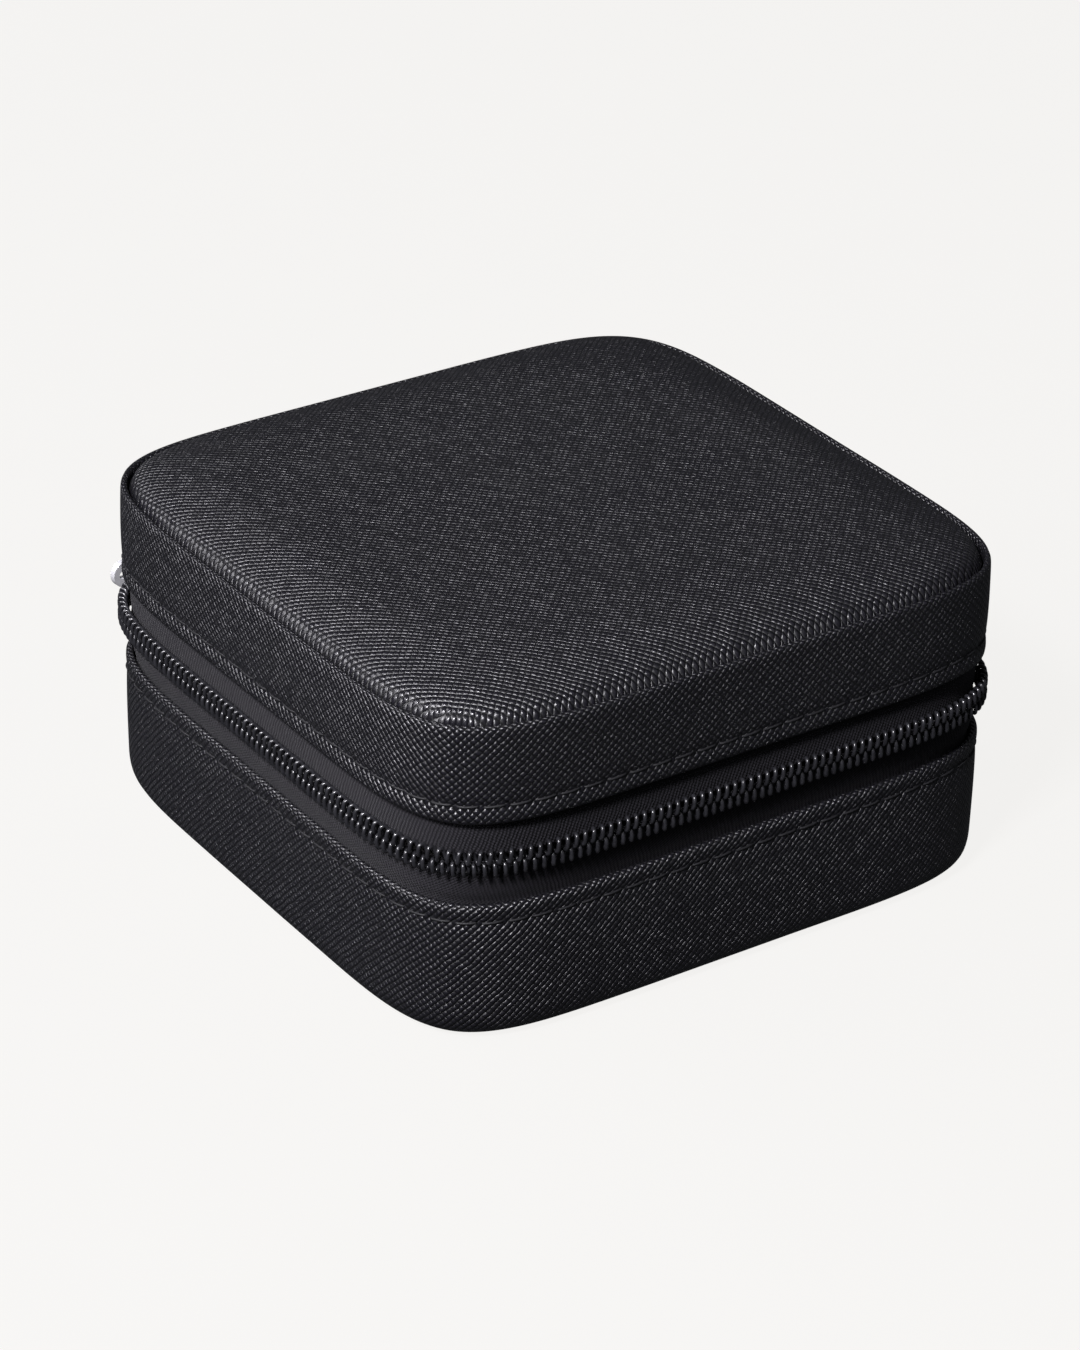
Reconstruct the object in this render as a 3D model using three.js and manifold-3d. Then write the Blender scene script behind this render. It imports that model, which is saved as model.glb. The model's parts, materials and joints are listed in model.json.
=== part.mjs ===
// A small zip-round leather jewellery case, shut. Millimetres, +Z up, the front faces -Y and the
// leather spine that hinges the lid is at the back (+Y). The origin is on the underside, in the middle.

import * as THREE from 'three';
import { mergeVertices } from 'three/addons/utils/BufferGeometryUtils.js';
import Module from 'manifold-3d';

const wasm = await Module();
wasm.setup();

// ---- Driving dimensions ----

// The plan is a superellipse: a square with bowed sides and soft corners.
const HALF_WIDTH = 50;
const HALF_DEPTH = 49.37;
const PLAN_EXPONENT = 6.36;
const CORNER_DEPTH = 9;
const RING_POINTS = 64;
const STRAIGHT_STEP = 11;
const ARC_STEP = THREE.MathUtils.degToRad(12);

const GAP = 0.3;
const LEATHER = 1.1;
const LINING = 0.8;
const BOARD = 1.6;

// Heights of the leather edges and of the zip.
const BASE_EDGE_Z = 21.9;
const LID_EDGE_Z = 34.6;
const LIP_Z = 49.4;
const ZIP_Z = 28.8;

// Depths below the lid's outer face of each layer of the wall.
const BASE_SET_IN = 0.2;
const PADDING_OUT = 1.6;
const PADDING_IN = 2.9;
const BOARD_OUT = 3.2;
const BOARD_IN = BOARD_OUT + BOARD;
const LINING_OUT = BOARD_IN + GAP;
const LINING_IN = LINING_OUT + LINING;
const CAVITY = LINING_IN + GAP;

// Base.
const BOTTOM_FILLET = 4;
const UNDERSIDE_Z = 0.3;
const UNDERSIDE_IN = 8.2;
const BOTTOM_BOARD_Z = 1.7;
const FLOOR_Z = 4.4;
const BASE_RIM_Z = 30.5;

// Lid.
const LID_RIM_Z = 31.9;
const CEILING_Z = 45.3;
const TOP_BOARD_Z = CEILING_Z + LINING + GAP;
const FOAM_Z = TOP_BOARD_Z + BOARD + GAP;
const PANEL_EDGE_IN = LEATHER + GAP;
const PANEL_TOP_Z = 52.3;
const CROWN = 1.6;
const CROWN_RUN = 12.6;
const CROWN_POWER = 2.2;
const EDGE_ROLL = 1.9;
const EDGE_ROLL_RUN = 0.5;
const TOP_SKIN = 0.9;

// Zip.
const ZIP_TUCK = 3.5;
const TAPE = 0.5;
const TAPE_OUT = 1.1;
const TAPE_HALF_GAP = 1.6;
const COIL_OUT = 0.9;
const COIL_IN = -0.8;
const COIL_NEAR = 0.45;
const COIL_FAR = 2.1;
const ZIP_STOP_X = -17.6;
const ZIP_END_X = 16.8;
const STOP_LENGTH = 1.4;

// Spine.
const SPINE_HALF = 16;
const HINGE_Z = 28.5;
const SPINE_HALF_GAP = 0.3;

// Slider, in its own axes: u along the zip, v across it, w outward from the wall.
const SLIDER_X = -23;
const SLIDER_TILT = THREE.MathUtils.degToRad(1.8);
const SLIDER_HALF = 4;
const INNER_PLATE = [-2.85, -2.05];
const OUTER_PLATE = [1.35, 2.25];
const FLANGE_W = -0.3;
const FLANGE = 0.75;
const BRIDGE_HALF = 0.8;
const BRIDGE_TOP = 4.95;
const BRIDGE_BAR = 0.9;
const BRIDGE_REACH = 2.8;
const PULL_W = 3.25;
const PULL_LEAN = THREE.MathUtils.degToRad(3.5);
const PULL_LENGTH = 20.7;
const PULL_HALF = 2.1;
const PULL_THICK = 1;

// Fittings in the base.
const PARTITION_HALF = 1.2;
const ROLL_COUNT = 7;
const ROLL_PITCH = 12.2;
const ROLL_HALF = 5.9;
const ROLL_HEIGHT = 15;
const DIVIDER_Y = 14.6;
const DIVIDER_HALF = 1;
const DIVIDER_HEIGHT = 18;
const CHANNEL_HEIGHT = 13;
const CHANNEL_DEPTH = 3;
const CHANNEL_HALF = 2.4;
const CHANNEL_SLOT_HALF = 1.3;
const CHANNEL_BACK = 1;

// Fittings in the lid.
const POCKET_HALF = 35;
const POCKET_MOUTH_Y = 12;
const POCKET_FOOT_Y = 41;
const POCKET_DEPTH = 5.6;
const POCKET_CLOTH = 0.8;
const ELASTIC_WIDTH = 2.2;
const STRAP_X = [-22, 0, 22];
const STRAP_HALF = 3.25;
const STRAP_THICK = 1;
const STRAP_ROOT_Y = -41;
const STRAP_END_Y = -13;
const STRAP_DROP = 3.4;
const SNAP_Y = -17;
const SNAP_RADIUS = 2.8;

// ---- Materials ----

const surface = (color, roughness, metalness = 0) =>
  new THREE.MeshStandardMaterial({ color, roughness, metalness });

const leather = surface(0x1b1c20, 0.45);
const tapeCloth = surface(0x141417, 0.85);
const nylon = surface(0x101013, 0.35);
const velvet = surface(0x0e0e10, 0.95);
const board = surface(0x8d8577, 0.9);
const foam = surface(0x3a3a3c, 0.95);
const chrome = surface(0xc8c9cc, 0.18, 1);
const satin = surface(0x121216, 0.5);

// ---- Shape helpers ----

// A point of the plan in a given direction from its middle, with the outward normal there.
function planPoint(angle) {
  const c = Math.cos(angle);
  const s = Math.sin(angle);
  const sum = Math.abs(c / HALF_WIDTH) ** PLAN_EXPONENT + Math.abs(s / HALF_DEPTH) ** PLAN_EXPONENT;
  const radius = sum ** (-1 / PLAN_EXPONENT);
  return withNormal(radius * c, radius * s);
}

function withNormal(x, y) {
  const nx = Math.sign(x) * Math.abs(x / HALF_WIDTH) ** (PLAN_EXPONENT - 1) / HALF_WIDTH;
  const ny = Math.sign(y) * Math.abs(y / HALF_DEPTH) ** (PLAN_EXPONENT - 1) / HALF_DEPTH;
  const length = Math.hypot(nx, ny);
  return { x, y, nx: nx / length, ny: ny / length };
}

// The point of the back wall at a given x.
function backPoint(x) {
  const share = Math.abs(x / HALF_WIDTH) ** PLAN_EXPONENT;
  return withNormal(x, HALF_DEPTH * (1 - share) ** (1 / PLAN_EXPONENT));
}

// The plan's points, from the middle of the back round by the left side. Their spacing is even in
// turn plus length, so corners get short steps and sides long ones.
function planOutline() {
  const fine = 1440;
  const walk = [];
  let total = 0;
  for (let i = 0; i <= fine; i += 1) {
    const p = planPoint(Math.PI / 2 + (2 * Math.PI * i) / fine);
    const last = walk.at(-1);
    if (last) {
      const turn = Math.acos(Math.min(1, p.nx * last.nx + p.ny * last.ny));
      total += Math.hypot(p.x - last.x, p.y - last.y) / STRAIGHT_STEP + turn / ARC_STEP;
    }
    walk.push({ ...p, total });
  }
  const points = [];
  for (let i = 0; i < RING_POINTS; i += 1) {
    points.push(walk.find((p) => p.total >= (total * i) / RING_POINTS));
  }
  return points;
}

const PLAN = planOutline();

// The zip's run: round the left side, the front and the right side, with both ends on the back.
const zipRun = (startX, endX) => [
  backPoint(startX),
  ...PLAN.filter((p) => p.y < 0 || p.x < startX - 1 || p.x > endX + 1),
  backPoint(endX),
];

// A plan point moved in from the outline. Deeper than the corners can follow square in, the
// outline shrinks toward its middle instead.
function inside(p, inset) {
  const squareIn = Math.min(inset, CORNER_DEPTH);
  const shrink = 1 - (inset - squareIn) / (HALF_WIDTH - CORNER_DEPTH);
  return [(p.x - p.nx * squareIn) * shrink, (p.y - p.ny * squareIn) * shrink];
}

// A geometry from points and triangles, turned so that its faces point out.
function closedGeometry(points, triangles) {
  const volume = triangles.reduce((sum, [a, b, c]) => {
    const [p, q, r] = [points[a], points[b], points[c]];
    const cross = [q[1] * r[2] - q[2] * r[1], q[2] * r[0] - q[0] * r[2], q[0] * r[1] - q[1] * r[0]];
    return sum + p[0] * cross[0] + p[1] * cross[1] + p[2] * cross[2];
  }, 0);
  const index = triangles.flatMap(([a, b, c]) => (volume < 0 ? [a, c, b] : [a, b, c]));
  const geometry = new THREE.BufferGeometry();
  geometry.setAttribute('position', new THREE.Float32BufferAttribute(points.flat(), 3));
  geometry.setIndex(index);
  geometry.computeVertexNormals();
  return geometry;
}

// Joins rows of points of equal length with quads. Each row closes on itself if wrapped is set.
function rowTriangles(rowCount, rowLength, closedRows, wrapped) {
  const triangles = [];
  const lastRow = closedRows ? rowCount : rowCount - 1;
  const lastColumn = wrapped ? rowLength : rowLength - 1;
  for (let i = 0; i < lastRow; i += 1) {
    for (let j = 0; j < lastColumn; j += 1) {
      const a = i * rowLength + j;
      const b = i * rowLength + ((j + 1) % rowLength);
      const c = ((i + 1) % rowCount) * rowLength + j;
      const d = ((i + 1) % rowCount) * rowLength + ((j + 1) % rowLength);
      triangles.push([a, b, d], [a, d, c]);
    }
  }
  return triangles;
}

// A profile of [inset, z] corners carried all the way round the plan.
function ring(profile) {
  const points = PLAN.flatMap((p) => profile.map(([inset, z]) => [...inside(p, inset), z]));
  return closedGeometry(points, rowTriangles(PLAN.length, profile.length, true, true));
}

// The same along an open run, with flat ends.
function strip(run, profile) {
  const points = run.flatMap((p) => profile.map(([inset, z]) => [...inside(p, inset), z]));
  const triangles = rowTriangles(run.length, profile.length, false, true);
  return closedGeometry(points, [...triangles, ...endCaps(profile, points.length - profile.length)]);
}

// Triangles over the first row of points and over the row that starts at lastRow.
function endCaps(profile, lastRow) {
  const contour = profile.map(([x, y]) => new THREE.Vector2(x, y));
  const turn = Math.sign(THREE.ShapeUtils.area(contour));
  return THREE.ShapeUtils.triangulateShape(contour, []).flatMap((corners) => {
    const area = THREE.ShapeUtils.area(corners.map((i) => contour[i]));
    const [a, b, c] = Math.sign(area) === turn ? corners : corners.toReversed();
    return [[a, c, b], [lastRow + a, lastRow + b, lastRow + c]];
  });
}

// A solid of stacked plan-shaped rings from its first [inset, z] to its last, closed by flat ends.
function stack(rings) {
  const points = rings.flatMap(([inset, z]) => PLAN.map((p) => [...inside(p, inset), z]));
  const triangles = rowTriangles(rings.length, PLAN.length, false, true);
  const last = (rings.length - 1) * PLAN.length;
  const bottom = points.push([0, 0, rings[0][1]]) - 1;
  const top = points.push([0, 0, rings.at(-1)[1]]) - 1;
  PLAN.forEach((_, j) => {
    const k = (j + 1) % PLAN.length;
    triangles.push([bottom, k, j], [top, last + j, last + k]);
  });
  return closedGeometry(points, triangles);
}

const plate = (inset, bottom, top) => stack([[inset, bottom], [inset, top]]);

function box(x0, x1, y0, y1, z0, z1) {
  const geometry = new THREE.BoxGeometry(x1 - x0, y1 - y0, z1 - z0);
  return geometry.translate((x0 + x1) / 2, (y0 + y1) / 2, (z0 + z1) / 2);
}

function outlineShape(corners) {
  return new THREE.Shape(corners.map(([x, y]) => new THREE.Vector2(x, y)));
}

const extrude = (shape, depth, curveSegments = 6) =>
  new THREE.ExtrudeGeometry(shape, { depth, bevelEnabled: false, curveSegments });

function toManifold(geometry) {
  const bare = geometry.clone();
  bare.deleteAttribute('normal');
  bare.deleteAttribute('uv');
  const merged = mergeVertices(bare, 1e-4);
  return new wasm.Manifold(new wasm.Mesh({
    numProp: 3,
    vertProperties: new Float32Array(merged.attributes.position.array),
    triVerts: new Uint32Array(merged.index.array),
  }));
}

function fromManifold(solid) {
  const { vertProperties, triVerts } = solid.getMesh();
  const geometry = new THREE.BufferGeometry();
  geometry.setAttribute('position', new THREE.BufferAttribute(vertProperties, 3));
  geometry.setIndex(new THREE.BufferAttribute(triVerts, 1));
  geometry.computeVertexNormals();
  return geometry;
}

const joined = (geometries) =>
  fromManifold(geometries.map(toManifold).reduce((all, one) => all.add(one)));

const caseGroup = new THREE.Group();

function add(name, geometry, material, parent = caseGroup) {
  const mesh = new THREE.Mesh(geometry, material);
  mesh.name = name;
  parent.add(mesh);
  return mesh;
}

// ---- Base ----

// Folded leather that turns under at the bottom in a soft fillet.
function baseSideCover() {
  const centreIn = BASE_SET_IN + BOTTOM_FILLET;
  const centreZ = UNDERSIDE_Z + BOTTOM_FILLET;
  const fillet = (radius) => [0, 30, 60, 90].map((degrees) => {
    const angle = THREE.MathUtils.degToRad(degrees);
    return [centreIn - radius * Math.sin(angle), centreZ - radius * Math.cos(angle)];
  });
  const edge = LEATHER / 2;
  return ring([
    [UNDERSIDE_IN, UNDERSIDE_Z],
    ...fillet(BOTTOM_FILLET),
    [BASE_SET_IN, BASE_EDGE_Z - edge],
    [BASE_SET_IN + edge / 2, BASE_EDGE_Z],
    [BASE_SET_IN + LEATHER, BASE_EDGE_Z],
    ...fillet(BOTTOM_FILLET - LEATHER).reverse(),
    [UNDERSIDE_IN, UNDERSIDE_Z + LEATHER],
  ]);
}

function liningWall(rimZ, rimInward, endZ) {
  const faceZ = rimZ + rimInward * LINING;
  return ring([
    [LINING_OUT, endZ],
    [LINING_OUT, faceZ],
    [BOARD_OUT + GAP, faceZ],
    [BOARD_OUT + GAP, rimZ],
    [LINING_IN, rimZ],
    [LINING_IN, endZ],
  ]);
}

function boardWall(z0, z1) {
  return ring([[BOARD_OUT, z0], [BOARD_OUT, z1], [BOARD_IN, z1], [BOARD_IN, z0]]);
}

function sidePadding(z0, z1) {
  return ring([[PADDING_OUT, z0], [PADDING_OUT, z1], [PADDING_IN, z1], [PADDING_IN, z0]]);
}

add('base_side_cover', baseSideCover(), leather);
add('base_bottom_cover', plate(UNDERSIDE_IN + GAP, 0, UNDERSIDE_Z + LEATHER), leather);
add('base_side_padding', sidePadding(UNDERSIDE_Z + BOTTOM_FILLET, BASE_EDGE_Z - ZIP_TUCK - GAP), foam);
add('base_board_wall', boardWall(BOTTOM_BOARD_Z + GAP, BASE_RIM_Z - LINING - GAP), board);
add('base_bottom_board', plate(LINING_OUT, BOTTOM_BOARD_Z, FLOOR_Z - LINING - GAP), board);
add('base_lining_wall', liningWall(BASE_RIM_Z, -1, FLOOR_Z - LINING), velvet);
add('base_lining_floor', plate(CAVITY, FLOOR_Z - LINING, FLOOR_Z), velvet);

// ---- Inside the base ----

const FITTING_Z = FLOOR_Z + GAP;
const CAVITY_X = HALF_WIDTH - CAVITY;
const CAVITY_Y = HALF_DEPTH - CAVITY;

// A foam roll under velvet: flat below, round above, trimmed to the curve of the wall.
function ringRoll(centreY) {
  const section = new THREE.Shape();
  section.moveTo(centreY - ROLL_HALF, 0);
  section.lineTo(centreY + ROLL_HALF, 0);
  section.lineTo(centreY + ROLL_HALF, ROLL_HEIGHT - ROLL_HALF);
  section.absarc(centreY, ROLL_HEIGHT - ROLL_HALF, ROLL_HALF, 0, Math.PI, false);
  const roll = extrude(section, CAVITY_X - PARTITION_HALF - GAP, 10);
  roll.rotateX(Math.PI / 2).rotateZ(Math.PI / 2);
  roll.translate(-CAVITY_X, 0, FITTING_Z);
  const room = plate(CAVITY, 0, BASE_RIM_Z);
  return fromManifold(toManifold(roll).intersect(toManifold(room)));
}

// A U channel that opens toward +X, closed at its back.
function dividerChannel() {
  return extrude(outlineShape([
    [0, -CHANNEL_HALF],
    [CHANNEL_DEPTH, -CHANNEL_HALF],
    [CHANNEL_DEPTH, -CHANNEL_SLOT_HALF],
    [CHANNEL_BACK, -CHANNEL_SLOT_HALF],
    [CHANNEL_BACK, CHANNEL_SLOT_HALF],
    [CHANNEL_DEPTH, CHANNEL_SLOT_HALF],
    [CHANNEL_DEPTH, CHANNEL_HALF],
    [0, CHANNEL_HALF],
  ]), CHANNEL_HEIGHT);
}

const channelLeftX = PARTITION_HALF + GAP;

add('base_partition', box(
  -PARTITION_HALF, PARTITION_HALF, GAP - CAVITY_Y, CAVITY_Y - GAP, FITTING_Z, BASE_RIM_Z - 2,
), velvet);

for (let i = 0; i < ROLL_COUNT; i += 1) {
  add(`ring_roll_${i + 1}`, ringRoll((i - (ROLL_COUNT - 1) / 2) * ROLL_PITCH), velvet);
}

[-1, 1].forEach((side, i) => {
  const y = side * DIVIDER_Y;
  const left = add(`divider_channel_${2 * i + 1}`, dividerChannel(), velvet);
  left.position.set(channelLeftX, y, FITTING_Z);
  const right = add(`divider_channel_${2 * i + 2}`, dividerChannel(), velvet);
  right.rotation.z = Math.PI;
  right.position.set(CAVITY_X - GAP, y, FITTING_Z);
  const clear = CHANNEL_BACK + GAP;
  add(`divider_${i + 1}`, box(
    channelLeftX + clear, CAVITY_X - GAP - clear,
    y - DIVIDER_HALF, y + DIVIDER_HALF, FITTING_Z, FITTING_Z + DIVIDER_HEIGHT,
  ), velvet);
});

// ---- Lid ----

// Height of the padded panel's leather at a depth in from the lid's outer face: a broad crown with
// a tight roll down to the seam.
function crownZ(inset) {
  const depth = inset - PANEL_EDGE_IN;
  const along = Math.min(1, depth / CROWN_RUN);
  const roll = EDGE_ROLL * Math.exp(-depth / EDGE_ROLL_RUN);
  return PANEL_TOP_Z - CROWN * (1 - along) ** CROWN_POWER - roll;
}

const CROWN_INSETS = [1.4, 1.6, 1.9, 2.3, 3, 4.2, 6, 8.5, 11, 14];

// Rings that follow the crown from below, with an upright edge.
function underCrown(edgeIn, depth) {
  const insets = [edgeIn, ...CROWN_INSETS.filter((inset) => inset > edgeIn + GAP)];
  return [[edgeIn, FOAM_Z], ...insets.map((inset) => [inset, crownZ(inset) - depth])];
}

function lidTopCover() {
  const outer = CROWN_INSETS.map((inset) => [inset, crownZ(inset)]);
  const inner = underCrown(PANEL_EDGE_IN + TOP_SKIN, TOP_SKIN);
  return stack([...inner.toReversed(), [PANEL_EDGE_IN, FOAM_Z], ...outer]);
}

function lidFoamPad() {
  const under = TOP_SKIN + GAP;
  return stack(underCrown(PANEL_EDGE_IN + under, under));
}

// A band with rolled edges: the lower hem and the lip round the padded panel.
function lidSideCover() {
  const edge = LEATHER / 3;
  return ring([
    [edge, LID_EDGE_Z],
    [0, LID_EDGE_Z + edge],
    [0, LIP_Z - edge],
    [edge, LIP_Z],
    [LEATHER - edge, LIP_Z],
    [LEATHER, LIP_Z - edge],
    [LEATHER, LID_EDGE_Z + edge],
    [LEATHER - edge, LID_EDGE_Z],
  ]);
}

add('lid_side_cover', lidSideCover(), leather);
add('lid_top_cover', lidTopCover(), leather);
add('lid_foam_pad', lidFoamPad(), foam);
add('lid_top_board', plate(BOARD_OUT, TOP_BOARD_Z, TOP_BOARD_Z + BOARD), board);
add('lid_board_wall', boardWall(LID_RIM_Z + LINING + GAP, CEILING_Z + LINING), board);
add('lid_side_padding', sidePadding(LID_EDGE_Z + ZIP_TUCK + GAP, FOAM_Z - GAP), foam);
add('lid_lining_wall', liningWall(LID_RIM_Z, 1, CEILING_Z + LINING), velvet);
add('lid_lining_panel', plate(CAVITY, CEILING_Z, CEILING_Z + LINING), velvet);

// ---- Inside the lid ----

const HANG_Z = CEILING_Z - GAP;

// How far the pocket stands off the lid's lining: full at the mouth, nothing at its sides and foot.
function pocketDepth(x, y) {
  const across = 1 - Math.abs(x / POCKET_HALF) ** 6;
  const along = Math.min(1, (POCKET_FOOT_Y - y) / 10);
  return POCKET_DEPTH * across * Math.sin((along * Math.PI) / 2);
}

// The pocket's cloth over a stretch of y: a sheet of even thickness that follows pocketDepth.
function pocketSheet(y0, y1, rowCount, thickness) {
  const columns = [-40, -39, -37, -34, -29, -20, -10, 0, 10, 20, 29, 34, 37, 39, 40];
  const points = [];
  for (let i = 0; i < rowCount; i += 1) {
    const y = y0 + ((y1 - y0) * i) / (rowCount - 1);
    const faces = [0, thickness].map((below) => columns.map((share) => {
      const x = (share / 40) * POCKET_HALF;
      return [x, y, HANG_Z - pocketDepth(x, y) - below];
    }));
    points.push(...faces[0], ...faces[1].toReversed());
  }
  const length = 2 * columns.length;
  const triangles = rowTriangles(rowCount, length, false, true);
  const start = (rowCount - 1) * length;
  for (let j = 0; j < columns.length - 1; j += 1) {
    const [a, b, c, d] = [j, j + 1, length - 2 - j, length - 1 - j];
    triangles.push([a, c, b], [a, d, c]);
    triangles.push([start + a, start + b, start + c], [start + a, start + c, start + d]);
  }
  return closedGeometry(points, triangles);
}

// A leather strap that leaves the lining, runs level and comes back to it at its snap.
function necklaceStrap() {
  const route = [
    [STRAP_ROOT_Y, 0], [STRAP_ROOT_Y + 3, STRAP_DROP], [STRAP_END_Y, STRAP_DROP],
  ];
  const top = route.map(([y, drop]) => [y, HANG_Z - drop]);
  const low = route.map(([y, drop]) => [y, HANG_Z - drop - STRAP_THICK]).reverse();
  const strap = extrude(outlineShape([...top, ...low]), 2 * STRAP_HALF);
  return strap.rotateX(Math.PI / 2).rotateZ(Math.PI / 2).translate(-STRAP_HALF, 0, 0);
}

// A round piece from [radius, height] corners on its axis, along -Z from where it is placed.
function turned(corners) {
  return new THREE.LatheGeometry(corners.map(([r, h]) => new THREE.Vector2(r, h)), 16)
    .rotateX(Math.PI / 2);
}

function snapCap() {
  return turned([[0, -1.3], [1.6, -1.1], [SNAP_RADIUS, -0.3], [SNAP_RADIUS, 0], [0, 0]]);
}

function snapSocket(height) {
  return turned([[0, -height], [2.1, -height], [2.1, -0.8], [SNAP_RADIUS, -0.6], [SNAP_RADIUS, 0], [0, 0]]);
}

add('lid_pocket', pocketSheet(POCKET_MOUTH_Y, POCKET_FOOT_Y, 9, POCKET_CLOTH), satin);
add('lid_pocket_elastic', pocketSheet(
  POCKET_MOUTH_Y - GAP - ELASTIC_WIDTH, POCKET_MOUTH_Y - GAP, 2, 2 * POCKET_CLOTH,
), satin);

STRAP_X.forEach((x, i) => {
  const strap = add(`necklace_strap_${i + 1}`, necklaceStrap(), leather);
  strap.position.x = x;
  const cap = add(`strap_snap_cap_${i + 1}`, snapCap(), chrome);
  cap.position.set(x, SNAP_Y, HANG_Z - STRAP_DROP - STRAP_THICK - GAP);
  const socket = add(`strap_snap_socket_${i + 1}`, snapSocket(STRAP_DROP - GAP), chrome);
  socket.position.set(x, SNAP_Y, HANG_Z);
});

// ---- Zip ----

// One tape: tucked behind the leather's hem, then stepped out to run beside the coil.
function zipTape(edgeZ, side, hemIn) {
  const z = (distance) => ZIP_Z + side * distance;
  const edge = Math.abs(edgeZ - ZIP_Z);
  return strip(zipRun(-SPINE_HALF - 2 * GAP, ZIP_END_X), [
    [hemIn, z(edge + ZIP_TUCK)],
    [hemIn, z(edge - GAP)],
    [TAPE_OUT, z(edge - 1.2)],
    [TAPE_OUT, z(TAPE_HALF_GAP)],
    [TAPE_OUT + TAPE, z(TAPE_HALF_GAP)],
    [TAPE_OUT + TAPE, z(edge - 1.2)],
    [hemIn + TAPE, z(edge - GAP)],
    [hemIn + TAPE, z(edge + ZIP_TUCK)],
  ]);
}

// One side of the nylon coil as a solid band of its outer size.
function zipCoil(side) {
  const z = (distance) => ZIP_Z + side * distance;
  const round = 0.4;
  return strip(zipRun(ZIP_STOP_X - STOP_LENGTH / 2 - GAP, ZIP_END_X), [
    [-COIL_IN, z(COIL_NEAR)],
    [round - COIL_OUT, z(COIL_NEAR)],
    [-COIL_OUT, z(COIL_NEAR + round)],
    [-COIL_OUT, z(COIL_FAR - round)],
    [round - COIL_OUT, z(COIL_FAR)],
    [-COIL_IN, z(COIL_FAR)],
  ]);
}

// A small metal stop at the end of each coil.
function zipStop(side) {
  const y = HALF_DEPTH;
  const [near, far] = [COIL_NEAR + 0.2, COIL_FAR + 0.4].map((distance) => ZIP_Z + side * distance);
  return box(
    ZIP_STOP_X - STOP_LENGTH / 2, ZIP_STOP_X + STOP_LENGTH / 2,
    y - TAPE_OUT + GAP, y - 0.05, Math.min(near, far), Math.max(near, far),
  );
}

function spineHalf(edgeZ, side, hemIn) {
  const near = HINGE_Z + side * SPINE_HALF_GAP;
  const far = edgeZ + side * ZIP_TUCK;
  return box(
    -SPINE_HALF, SPINE_HALF, HALF_DEPTH - hemIn - LEATHER, HALF_DEPTH - hemIn,
    Math.min(near, far), Math.max(near, far),
  );
}

const BASE_HEM_IN = BASE_SET_IN + LEATHER + GAP;
const LID_HEM_IN = LEATHER + GAP;

add('zip_tape_lower', zipTape(BASE_EDGE_Z, -1, BASE_HEM_IN), tapeCloth);
add('zip_tape_upper', zipTape(LID_EDGE_Z, 1, LID_HEM_IN), tapeCloth);
add('zip_coil_lower', zipCoil(-1), nylon);
add('zip_coil_upper', zipCoil(1), nylon);
add('zip_stop_lower', zipStop(-1), chrome);
add('zip_stop_upper', zipStop(1), chrome);
add('spine_lower', spineHalf(BASE_EDGE_Z, -1, BASE_HEM_IN), leather);
add('spine_upper', spineHalf(LID_EDGE_Z, 1, LID_HEM_IN), leather);

// ---- Slider and pull ----

// The slider's plate: two shoulders where the coils part, narrower where they leave joined.
const PLATE_CORNERS = [
  [-SLIDER_HALF, 2.2], [-SLIDER_HALF + 0.8, 3.1], [-1.6, 3.4], [1, 3.3],
  [SLIDER_HALF - 0.6, 3.1], [SLIDER_HALF, 2.6],
];

function sliderPlate([w0, w1]) {
  const far = PLATE_CORNERS.map(([u, v]) => [u, -v]).toReversed();
  return extrude(outlineShape([...PLATE_CORNERS, ...far]), w1 - w0).translate(0, 0, w0);
}

function sliderFlange(side) {
  const [w0, w1] = [FLANGE_W, OUTER_PLATE[0] + 0.1];
  const outer = PLATE_CORNERS.slice(1, -1).map(([u, v]) => [u, side * v]);
  const inner = outer.map(([u, v]) => [u, v - side * FLANGE]).toReversed();
  return extrude(outlineShape([...outer, ...inner]), w1 - w0).translate(0, 0, w0);
}

// The arch that carries the pull tab, seen from the side.
function sliderBridge() {
  const foot = OUTER_PLATE[1] - 0.1;
  const inner = BRIDGE_REACH - BRIDGE_BAR;
  const bevel = 0.8;
  const arch = outlineShape([
    [-BRIDGE_REACH, foot], [-BRIDGE_REACH, BRIDGE_TOP - bevel], [bevel - BRIDGE_REACH, BRIDGE_TOP],
    [BRIDGE_REACH - bevel, BRIDGE_TOP], [BRIDGE_REACH, BRIDGE_TOP - bevel], [BRIDGE_REACH, foot],
    [inner, foot], [inner, BRIDGE_TOP - BRIDGE_BAR], [-inner, BRIDGE_TOP - BRIDGE_BAR], [-inner, foot],
  ]);
  return extrude(arch, 2 * BRIDGE_HALF).rotateX(Math.PI / 2).translate(0, BRIDGE_HALF, 0);
}

// The post between the plates that parts the coils.
const sliderPost = () => box(-3.2, -0.8, -0.2, 0.2, INNER_PLATE[1] - 0.1, OUTER_PLATE[0] + 0.1);

// The tab: a bar under the bridge, a window that clears the bridge, and a round end with a slot.
function pullTab() {
  const tip = PULL_LENGTH - PULL_HALF;
  const outline = new THREE.Shape();
  outline.moveTo(-0.5, -PULL_HALF);
  outline.lineTo(tip, -PULL_HALF);
  outline.absarc(tip, 0, PULL_HALF, -Math.PI / 2, Math.PI / 2, false);
  outline.lineTo(-0.5, PULL_HALF);
  outline.closePath();
  const windowHalf = BRIDGE_HALF + GAP;
  outline.holes.push(new THREE.Path([
    new THREE.Vector2(0.5, -windowHalf),
    new THREE.Vector2(0.5, windowHalf),
    new THREE.Vector2(3.9, windowHalf),
    new THREE.Vector2(3.9, -windowHalf),
  ]));
  const slot = new THREE.Path();
  slot.absarc(tip - 1, 0, 0.6, Math.PI / 2, (3 * Math.PI) / 2, false);
  slot.absarc(tip + 0.5, 0, 0.6, -Math.PI / 2, Math.PI / 2, false);
  slot.closePath();
  outline.holes.push(slot);
  return extrude(outline, PULL_THICK, 8).translate(0, 0, -PULL_THICK / 2);
}

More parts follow.
